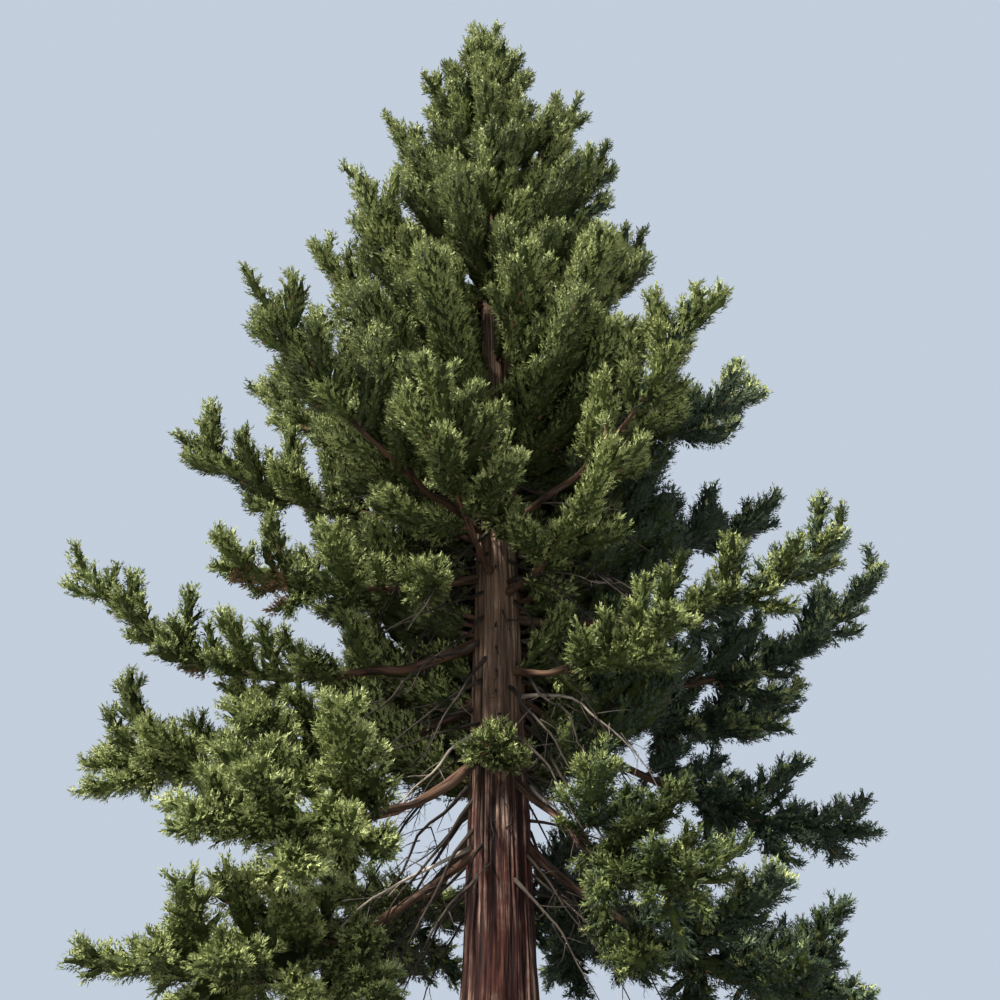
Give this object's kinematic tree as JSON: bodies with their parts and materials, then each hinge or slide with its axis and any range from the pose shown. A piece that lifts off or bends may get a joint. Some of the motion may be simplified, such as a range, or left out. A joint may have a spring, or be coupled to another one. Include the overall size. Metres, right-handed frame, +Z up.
{
  "type": "giant sequoia tree",
  "caption": "Tall giant sequoia with a straight tapering red-brown trunk, a flared foot, boughs in tiers and dense upswept plumes of needles, standing on its flat-cut foot.",
  "frame": {"origin": "middle of the flat cut at the foot of the trunk, at ground level", "axes": "+Z up along the trunk, +X to the right and -Y towards the viewer, as the picture shows the tree"},
  "size_m": [24.4316, 18.34, 37.9975],
  "materials": {
    "trunk_bark": "deeply furrowed fibrous bark, matt",
    "bough_bark": "thin flaky bark, matt",
    "foliage": "short scaly needles in dense sprays, slightly waxy"
  },
  "bodies": {
    "root": {"trunk": "trunk_bark", "bough_left_1": "bough_bark", "foliage_left_1": "foliage", "bough_left_2": "bough_bark", "foliage_left_2": "foliage", "bough_left_3": "bough_bark", "foliage_left_3": "foliage", "bough_left_4": "bough_bark", "foliage_left_4": "foliage", "bough_left_5": "bough_bark", "foliage_left_5": "foliage", "bough_left_6": "bough_bark", "foliage_left_6": "foliage", "bough_left_7": "bough_bark", "foliage_left_7": "foliage", "bough_right_1": "bough_bark", "foliage_right_1": "foliage", "bough_right_2": "bough_bark", "foliage_right_2": "foliage", "bough_right_3": "bough_bark", "foliage_right_3": "foliage", "bough_right_4": "bough_bark", "foliage_right_4": "foliage", "bough_right_5": "bough_bark", "foliage_right_5": "foliage", "bough_right_6": "bough_bark", "foliage_right_6": "foliage", "bough_right_7": "bough_bark", "foliage_right_7": "foliage", "bough_right_8": "bough_bark", "foliage_right_8": "foliage", "bough_front_1": "bough_bark", "foliage_front_1": "foliage", "bough_back_1": "bough_bark", "foliage_back_1": "foliage", "bough_back_2": "bough_bark", "foliage_back_2": "foliage", "bough_back_3": "bough_bark", "foliage_back_3": "foliage", "bough_front_low": "bough_bark", "foliage_front_low": "foliage", "foliage_back_4": "foliage", "foliage_front_right": "foliage", "foliage_front_mid": "foliage", "foliage_front_tuft": "foliage", "foliage_trunk_tuft": "foliage", "foliage_left_8": "foliage", "foliage_upper_left": "foliage", "foliage_upper_front_left": "foliage", "foliage_upper_right": "foliage", "foliage_upper_front": "foliage", "foliage_upper_back_left": "foliage", "foliage_upper_back_right": "foliage", "foliage_top_left_1": "foliage", "foliage_top_left_2": "foliage", "foliage_top_front": "foliage", "foliage_top_right_1": "foliage", "foliage_top_right_2": "foliage", "foliage_top_back": "foliage", "foliage_leader": "foliage"}
  },
  "joints": []
}
